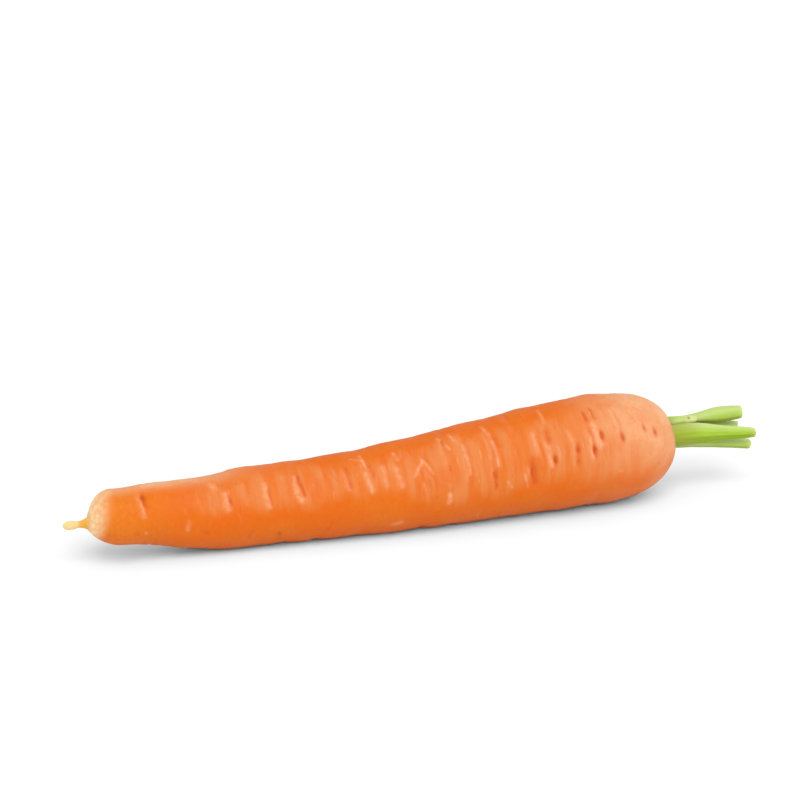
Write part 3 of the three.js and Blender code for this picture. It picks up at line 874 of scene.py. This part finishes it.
class Nodes:
    """Short calls for making and joining shader nodes in one tree."""

    def __init__(self, tree):
        self.tree = tree

    def feed(self, node, inputs):
        """Joins inputs of a node to other nodes' outputs, or sets their values."""
        for name, value in inputs.items():
            if isinstance(value, bpy.types.NodeSocket):
                self.tree.links.new(value, node.inputs[name])
            else:
                node.inputs[name].default_value = value

    def add(self, kind, inputs, **values):
        node = self.tree.nodes.new(kind)
        for name, value in values.items():
            setattr(node, name, value)
        self.feed(node, inputs)
        return node

    def mix(self, share, below, over):
        node = self.add("ShaderNodeMix", {"Factor": share, 6: below, 7: over}, data_type="RGBA")
        return node.outputs[2]

    def math(self, operation, a, b, clamp=False):
        node = self.add("ShaderNodeMath", {0: a, 1: b}, operation=operation, use_clamp=clamp)
        return node.outputs[0]

    def times(self, a, b):
        return self.math("MULTIPLY", a, b)

    def spread(self, value, low, high, to_low=0, to_high=1):
        """A value carried smoothly from one pair of limits to another."""
        inputs = {"Value": value, "From Min": low, "From Max": high, "To Min": to_low, "To Max": to_high}
        return self.add("ShaderNodeMapRange", inputs, interpolation_type="SMOOTHSTEP").outputs["Result"]

    def mask(self, name, *limits):
        """A mask of the mesh, spread between limits where some are given."""
        mask = self.add("ShaderNodeAttribute", {}, attribute_name=name).outputs["Fac"]
        return self.spread(mask, *limits) if limits else mask

    def streaks(self, **values):
        return self.add("ShaderNodeGroup", values, node_tree=streak_group()).outputs["Mask"]

    def torn(self, mask, amount, grain):
        """A mask with its soft edge broken up by a grain."""
        soft = self.mask(mask)
        rough = self.times(self.math("SUBTRACT", grain, 0.5), amount)
        return self.math("ADD", soft, self.times(rough, soft), clamp=True)


def rgba(colour):
    return (*colour, 1)


def streak_group():
    """Noise stretched along or around the piece, as a mask: mottling, streaks and dashes."""
    group = bpy.data.node_groups.get("stretched_streaks")
    if group:
        return group
    group = bpy.data.node_groups.new("stretched_streaks", "ShaderNodeTree")
    for name in ("Along", "Around", "Detail", "Low", "High", "Shift"):
        group.interface.new_socket(name, in_out="INPUT", socket_type="NodeSocketFloat")
    group.interface.new_socket("Mask", in_out="OUTPUT", socket_type="NodeSocketFloat")
    nodes = Nodes(group)
    source = nodes.add("NodeGroupInput", {}).outputs
    place = nodes.add("ShaderNodeTexCoord", {}).outputs["Object"]
    around = source["Around"]
    scale = nodes.add("ShaderNodeCombineXYZ", {"X": source["Along"], "Y": around, "Z": around})
    stretch = nodes.add("ShaderNodeVectorMath", {0: place, 1: scale.outputs[0], 2: source["Shift"]},
                        operation="MULTIPLY_ADD")
    noise = nodes.add("ShaderNodeTexNoise",
                      {"Vector": stretch.outputs[0], "Scale": 1, "Detail": source["Detail"]})
    mask = nodes.spread(noise.outputs["Fac"], source["Low"], source["High"])
    nodes.add("NodeGroupOutput", {"Mask": mask})
    return group


def new_material(name):
    """A material with only its shader, and short calls for its tree."""
    material = bpy.data.materials.new(name)
    material.use_nodes = True
    shader = material.node_tree.nodes["Principled BSDF"]
    return material, Nodes(material.node_tree), shader


def paint(nodes, shader, colour, layers, relief, dull, gloss, finish):
    """Sets a shader: (share, colour) layers over a main colour, its relief, and where it is dull."""
    colour = rgba(colour)
    for share, layer in layers:
        colour = nodes.mix(share, colour, rgba(layer))
    bump = nodes.add("ShaderNodeBump", {
        "Strength": finish["bump"], "Distance": finish["bump_height"] * MM, "Height": relief})
    nodes.feed(shader, {
        "Base Color": without_glow(nodes, colour),
        "Roughness": nodes.spread(dull, 0, 1, gloss, gloss + finish["duller"]),
        "Specular IOR Level": finish["shine"],
        "Subsurface Weight": finish["glow"],
        "Subsurface Radius": finish["glow_colour"],
        "Subsurface Scale": GLOW_DEPTH * MM,
        "Normal": bump.outputs["Normal"],
    })


def without_glow(nodes, colour):
    """The colour, with plain grey in its place for the light that it throws on the floor."""
    diffuse_ray = nodes.add("ShaderNodeLightPath", {}).outputs["Is Diffuse Ray"]
    return nodes.mix(diffuse_ray, colour, rgba(FLOOR_GLOW))


def carrot_skin(settings):
    """Orange skin: mottled flesh, ring bands, creases with pale lips, scars and pale scratches. Painted
    highlight: the salmon sheen bands, and in part the peach, the pale tip rim and the lips. Painted
    shade: the deeper underside, and in part the crease bottoms.
    """
    material, nodes, shader = new_material("carrot_skin")
    patches = nodes.streaks(Along=80, Around=110, Detail=4, Low=0.38, High=0.66)
    bands = nodes.streaks(Along=300, Around=55, Detail=3, Low=0.3, High=0.72, Shift=7)
    mottle = nodes.streaks(Along=900, Around=650, Detail=5, Low=0.32, High=0.68, Shift=19)
    scratches = nodes.streaks(Along=2100, Around=190, Detail=0, Low=0.77, High=0.83, Shift=31)
    specks = nodes.streaks(Along=700, Around=500, Detail=0, Low=0.85, High=0.89, Shift=53)
    # Sheen is painted highlight along the rows of scars, broken into bands
    sheen = nodes.mask("sheen")
    # Peach over the tip and shoulder: partly dry skin, partly painted highlight
    dry_and_sheen = nodes.torn("dry_and_sheen", 0.25, mottle)
    layers = (
        (nodes.mask("young"), settings.young),
        (nodes.times(patches, 0.6), settings.light),
        (nodes.times(mottle, 0.3), settings.deep),
        # Painted shade: the underside deeper orange
        (nodes.times(nodes.mask("low"), 0.4), settings.crease),
        (nodes.times(sheen, nodes.spread(bands, 0, 1, 0.22, 0.88)), settings.sheen),
        (nodes.times(dry_and_sheen, nodes.spread(patches, 0, 1, 0.6, 0.95)), settings.peach_sheen),
        # Lips partly painted highlight, crease bottoms partly painted shade
        (nodes.times(nodes.torn("lip", 1, mottle), 0.75), settings.lip),
        (nodes.times(nodes.torn("groove", 0.6, mottle), 0.85), settings.crease),
        # Pale scratches show only inside the painted sheen
        (nodes.times(nodes.times(scratches, sheen), 0.4), settings.lip),
        (nodes.times(specks, 0.35), settings.scar),
        (nodes.torn("scar", 0.5, mottle), settings.scar),
        (nodes.times(nodes.torn("brown", 1, mottle), 0.65), settings.brown),
        # Tip rim: partly paler skin, partly painted highlight
        (nodes.torn("tip", 0.5, mottle), settings.tip),
        (nodes.mask("stem"), settings.stem),
        (nodes.torn("tail", 0.3, mottle), settings.tail),
        (nodes.torn("crown", 0.6, mottle), settings.crown),
    )
    relief = nodes.math("ADD", nodes.times(bands, 0.6), nodes.times(mottle, 0.5))
    paint(nodes, shader, settings.flesh, layers, relief, bands, settings.gloss, SKIN_FINISH)
    return material


def leaf_stalk(settings, name, main, old):
    """Green stalk: pale ribs and edges, an olive foot, fine length-wise fibres, a pale cut end, painted
    top light on its upper side and painted shade on its underside.
    """
    material, nodes, shader = new_material(name)
    fibres = nodes.streaks(Along=140, Around=2600, Detail=2, Low=0.38, High=0.64)
    patches = nodes.streaks(Along=160, Around=500, Detail=2, Low=0.4, High=0.65, Shift=11)
    thin_edge = nodes.times(nodes.mask("margin"), nodes.mask("share", 0.1, 0.6, 0.8, 0.2))
    layers = [
        (nodes.times(patches, 0.25), settings.deep),
        # Painted top light: the upper side paler
        (nodes.mask("under", 0.12, 0.45, 0.95, 0), settings.pale_and_top_light),
        (nodes.times(nodes.mask("rib"), 0.12), settings.pale_and_top_light),
        (nodes.times(fibres, 0.15), settings.pale_and_top_light),
        # Painted shade: the underside deeper green
        (nodes.mask("under", 0.52, 0.7, 0, 0.9), settings.deep),
        (thin_edge, settings.membrane),
        (nodes.mask("share", 0.12, 0.4, 0.7, 0), settings.base),
    ]
    if old:
        flesh = nodes.times(nodes.mask("share", 0.52, 0.64), nodes.spread(patches, 0, 1, 0.6, 1))
        layers += [(flesh, settings.cut), (nodes.mask("spot"), settings.spot)]
    else:
        layers.append((nodes.mask("share", 0.9, 1, 0, 0.25), settings.cut))
    layers.append((nodes.mask("cut"), settings.cut))
    paint(nodes, shader, main, layers, fibres, fibres, settings.gloss, STALK_FINISH)
    return material


def pale_floor():
    """Plain white floor."""
    material, nodes, shader = new_material("pale_floor")
    grain = nodes.streaks(Along=40, Around=40, Detail=2, Low=0.3, High=0.7)
    white = nodes.mix(grain, *map(rgba, FLOOR_WHITES))
    nodes.feed(shader, {"Base Color": white, "Roughness": 1, "Specular IOR Level": 0})
    return material


# ---------------------------------------------------------------- operators

class CARROT_OT_skin(bpy.types.Operator):
    """Makes the root's fine skin in place of the solid root."""

    bl_idname = "carrot.skin"
    bl_label = "Make Root Skin"

    def execute(self, context):
        settings = context.scene.carrot_skin
        skin = SkinMap(settings)
        grid = kept_in_box(skin.points() + frame_shift(), "root")
        masks = {**skin.masks, **skin.place_masks()}
        first = grid[0].mean(axis=0)
        first[0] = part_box("root")[0].x / MM
        mesh = grid_mesh("carrot_root", first, grid, masks)
        add_piece("carrot_root", mesh, "root", carrot_skin(settings))
        return {"FINISHED"}


class CARROT_OT_stalks(bpy.types.Operator):
    """Makes the leaf stalks in place of the solid ones."""

    bl_idname = "carrot.stalks"
    bl_label = "Make Leaf Stalks"

    def execute(self, context):
        settings = context.scene.carrot_stalks
        green = leaf_stalk(settings, "green_stalk", settings.green, False)
        dry_and_sheen = leaf_stalk(settings, "old_leaf_base", settings.dry_and_sheen, True)
        middle = np.array(axis_line(ROOT_LENGTH), float)
        middle[2] -= STALKS_DROP
        for seed, (node, stalk) in enumerate(STALKS.items()):
            rings, masks = add_cut_end(*stalk_points(stalk, FINE_SEED + seed))
            grid = kept_in_box(rings + middle + frame_shift(), node, stalk.get("fill", 0))
            mesh = grid_mesh("trimmed_" + node, grid[0].mean(axis=0), grid, masks)
            old = node == "leaf_base_old"
            add_piece("trimmed_" + node, mesh, node, dry_and_sheen if old else green)
        return {"FINISHED"}


class CARROT_OT_stage(bpy.types.Operator):
    """Makes the pale floor, the soft light and the camera."""

    bl_idname = "carrot.stage"
    bl_label = "Make Stage"

    def execute(self, context):
        settings = context.scene.carrot_stage
        self.make_floor(settings)
        self.make_light(context.scene, settings)
        self.make_camera(context.scene, settings)
        return {"FINISHED"}

    def make_floor(self, settings):
        half = settings.floor_size / 2
        mesh = bpy.data.meshes.new("floor")
        mesh.from_pydata([(-half, -half, 0), (half, -half, 0), (half, half, 0), (-half, half, 0)],
                         [], [(0, 1, 2, 3)])
        mesh.materials.append(pale_floor())
        floor = new_object("floor", mesh)

    def make_light(self, scene, settings):
        world = bpy.data.worlds.new("even_light")
        world.use_nodes = True
        background = world.node_tree.nodes["Background"]
        Nodes(world.node_tree).feed(background, {"Color": (1, 1, 1, 1), "Strength": settings.sky})
        scene.world = world
        self.make_far_light("key_light", settings.key, *KEY_LIGHT)
        self.make_far_light("side_light", settings.side, *SIDE_LIGHT)
        scene.view_settings.view_transform = "Standard"

    def make_far_light(self, name, strength, towards, width):
        """A soft light so far away that it is even all over; width is in degrees."""
        lamp = bpy.data.lights.new(name, "SUN")
        lamp.energy = strength
        lamp.angle = math.radians(width)
        self.turn_back_to(new_object(name, lamp), Vector(towards))

    def make_camera(self, scene, settings):
        data = bpy.data.cameras.new("camera")
        data.lens = settings.lens
        data.clip_start, data.clip_end = CAMERA_CLIP
        turn, rise = settings.azimuth, settings.elevation
        back = Vector((math.sin(turn) * math.cos(rise), -math.cos(turn) * math.cos(rise),
                       math.sin(rise)))
        camera = new_object("camera", data)
        camera.location = Vector(settings.target) + back * settings.distance
        self.turn_back_to(camera, back)
        scene.camera = camera

    def turn_back_to(self, made, way):
        """Turns the back of a light or the camera to a direction."""
        made.rotation_mode = "QUATERNION"
        made.rotation_quaternion = way.to_track_quat("Z", "Y")


class CARROT_PT_maker(bpy.types.Panel):
    """Lists the carrot's operators and settings."""

    bl_idname = "CARROT_PT_maker"
    bl_label = "Carrot"
    bl_space_type = "VIEW_3D"
    bl_region_type = "UI"
    bl_category = "Carrot"

    def draw(self, context):
        for settings in SETTINGS:
            group = getattr(context.scene, settings)
            box = self.layout.box()
            for name in group.bl_rna.properties.keys():
                if name not in ("rna_type", "name"):
                    box.prop(group, name)
            box.operator(settings.replace("_", "."))


SETTINGS = {
    "carrot_skin": CarrotSkinSettings,
    "carrot_stalks": CarrotStalkSettings,
    "carrot_stage": CarrotStageSettings,
}
CLASSES = (*SETTINGS.values(), CARROT_OT_skin, CARROT_OT_stalks, CARROT_OT_stage, CARROT_PT_maker)


def register():
    for made in CLASSES:
        bpy.utils.register_class(made)
    for name, settings in SETTINGS.items():
        setattr(bpy.types.Scene, name, PointerProperty(type=settings))


def unregister():
    for name in SETTINGS:
        delattr(bpy.types.Scene, name)
    for made in reversed(CLASSES):
        bpy.utils.unregister_class(made)


def main():
    register()
    bpy.ops.carrot.stage()
    bpy.ops.carrot.skin()
    bpy.ops.carrot.stalks()
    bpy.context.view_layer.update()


if __name__ == "__main__":
    main()
